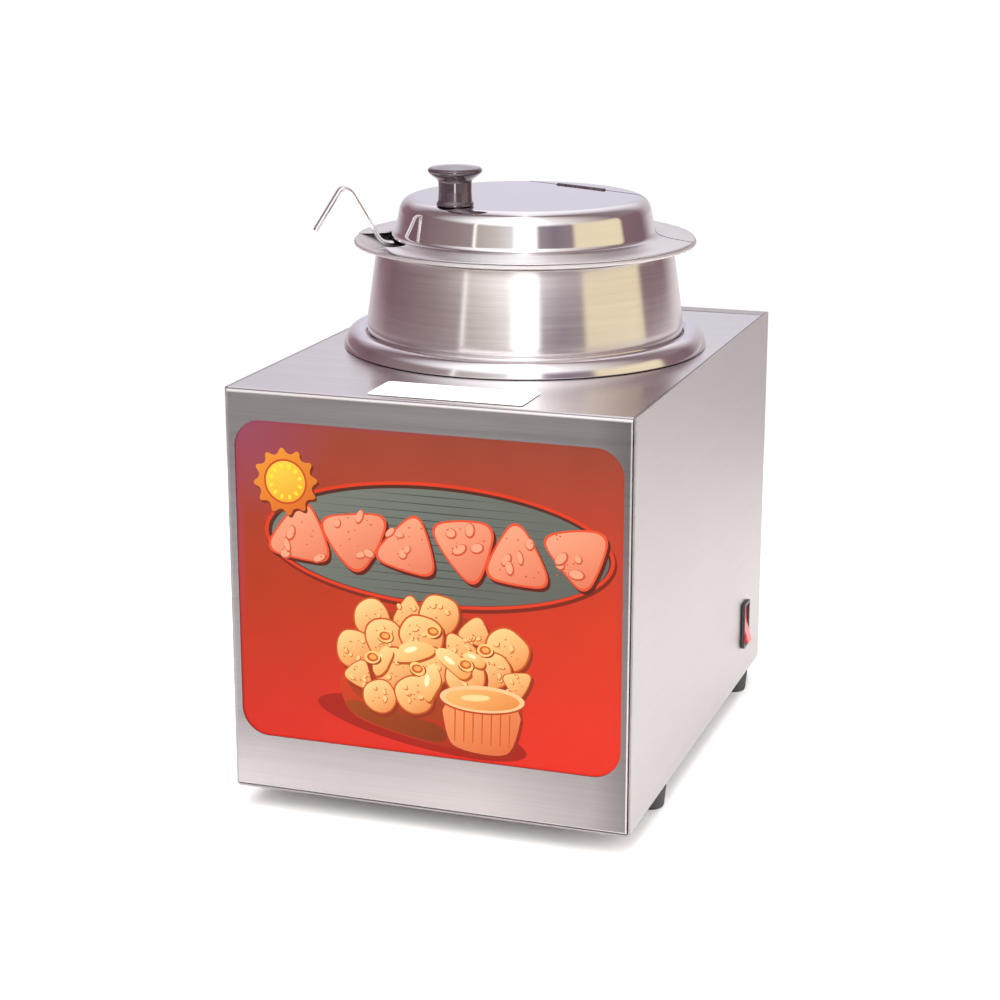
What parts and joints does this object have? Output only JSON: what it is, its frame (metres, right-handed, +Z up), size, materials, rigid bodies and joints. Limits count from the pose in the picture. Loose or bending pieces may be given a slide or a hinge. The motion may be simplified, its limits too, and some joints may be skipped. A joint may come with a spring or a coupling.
{
  "type": "nacho cheese dispenser",
  "caption": "Countertop nacho cheese warmer: stainless cabinet with a backlit front sign, a water bath well, a lift-out pot, a hinged notched lid and a hooked ladle.",
  "frame": {"origin": "on the surface the feet stand on, under the middle of the outer box", "axes": "+X to the right seen from the front, +Y from the sign towards the rear, +Z up"},
  "size_m": [0.2529, 0.342, 0.3805],
  "materials": {
    "brushed_steel": "brushed stainless sheet, fine straight or circumferential grain",
    "polished_steel": "polished stainless, mirror with faint spinning marks",
    "hinge_steel": "dark worn steel with oil in the knuckles",
    "plated_steel": "zinc plated, satin",
    "black_rubber": "matt moulded rubber",
    "sign_print": "backlit translucent print on acrylic, smooth",
    "opal_acrylic": "opal acrylic diffuser, satin",
    "white_paint": "matt white reflector paint",
    "white_label": "blank white laminated plate, semi-gloss",
    "black_plastic": "moulded black nylon, fine texture",
    "red_plastic": "glossy translucent red switch rocker",
    "black_phenolic": "moulded phenolic, polished",
    "ceramic_white": "unglazed white porcelain",
    "bulb_glass": "clear warm glass envelope",
    "insulation_wool": "pressed mineral wool, fibrous"
  },
  "bodies": {
    "cabinet": {"base_chassis": "brushed_steel", "front_top_cover": "brushed_steel", "back_panel": "brushed_steel", "back_screw_1": "plated_steel", "back_screw_2": "plated_steel", "back_screw_3": "plated_steel", "back_screw_4": "plated_steel", "foot_front_left": "black_rubber", "foot_front_right": "black_rubber", "foot_rear_left": "black_rubber", "foot_rear_right": "black_rubber", "foot_screw_front_left": "plated_steel", "foot_screw_front_right": "plated_steel", "foot_screw_rear_left": "plated_steel", "foot_screw_rear_right": "plated_steel", "sign_lens": "sign_print", "sign_diffuser": "opal_acrylic", "sign_channel_left": "plated_steel", "sign_channel_right": "plated_steel", "sign_reflector": "white_paint", "lamp_bracket": "plated_steel", "lamp_socket": "ceramic_white", "sign_lamp": "bulb_glass", "well_trim_ring": "polished_steel", "well_gasket": "black_rubber", "well_vessel": "brushed_steel", "well_insulation": "insulation_wool", "heating_element": "plated_steel", "element_clamp_plate": "plated_steel", "element_clamp_nut": "plated_steel", "control_thermostat": "black_plastic", "high_limit_cutout": "black_plastic", "switch_housing": "black_plastic", "cord_gland": "black_plastic", "gland_locknut": "black_plastic", "terminal_block": "ceramic_white", "lead_gland_to_terminals": "black_rubber", "lead_terminals_to_switch": "black_rubber", "lead_terminals_to_heater": "black_rubber", "lead_terminals_to_lamp": "black_rubber", "blank_info_plate": "white_label"},
    "rocker": {"power_rocker": "red_plastic"},
    "collar": {"adapter_collar": "brushed_steel"},
    "pot": {"cheese_pot": "polished_steel"},
    "lid_base": {"lid_rear": "polished_steel", "hinge_leaf_rear": "hinge_steel", "hinge_pin": "hinge_steel"},
    "lid_flap": {"lid_front": "polished_steel", "hinge_leaf_front": "hinge_steel", "lid_knob": "black_phenolic", "knob_screw": "plated_steel"},
    "ladle": {"ladle_handle": "polished_steel", "ladle_bowl": "polished_steel"}
  },
  "joints": [
    {"name": "collar_lift", "type": "slide", "parent": "cabinet", "child": "collar", "axis": [0, 0, 1], "range_m": [0, 0.12]},
    {"name": "pot_lift", "type": "slide", "parent": "collar", "child": "pot", "axis": [0, 0, 1], "range_m": [0, 0.18]},
    {"name": "lid_lift", "type": "slide", "parent": "pot", "child": "lid_base", "axis": [0, 0, 1], "range_m": [0, 0.06]},
    {"name": "lid_hinge", "type": "hinge", "parent": "lid_base", "child": "lid_flap", "pos_m": [0.01953, 0.05813, 0.3548], "axis": [-0.9063, 0.4226, 0], "range_deg": [0, 110]},
    {"name": "ladle_swing", "type": "hinge", "parent": "pot", "child": "ladle", "pos_m": [-0.00245, 0.011, 0.262], "axis": [0, 0, 1], "range_deg": [-13, 13]},
    {"name": "power_rocker", "type": "hinge", "parent": "cabinet", "child": "rocker", "pos_m": [0.12005, 0.115, 0.054], "axis": [0, 1, 0], "range_deg": [0, 20]}
  ]
}
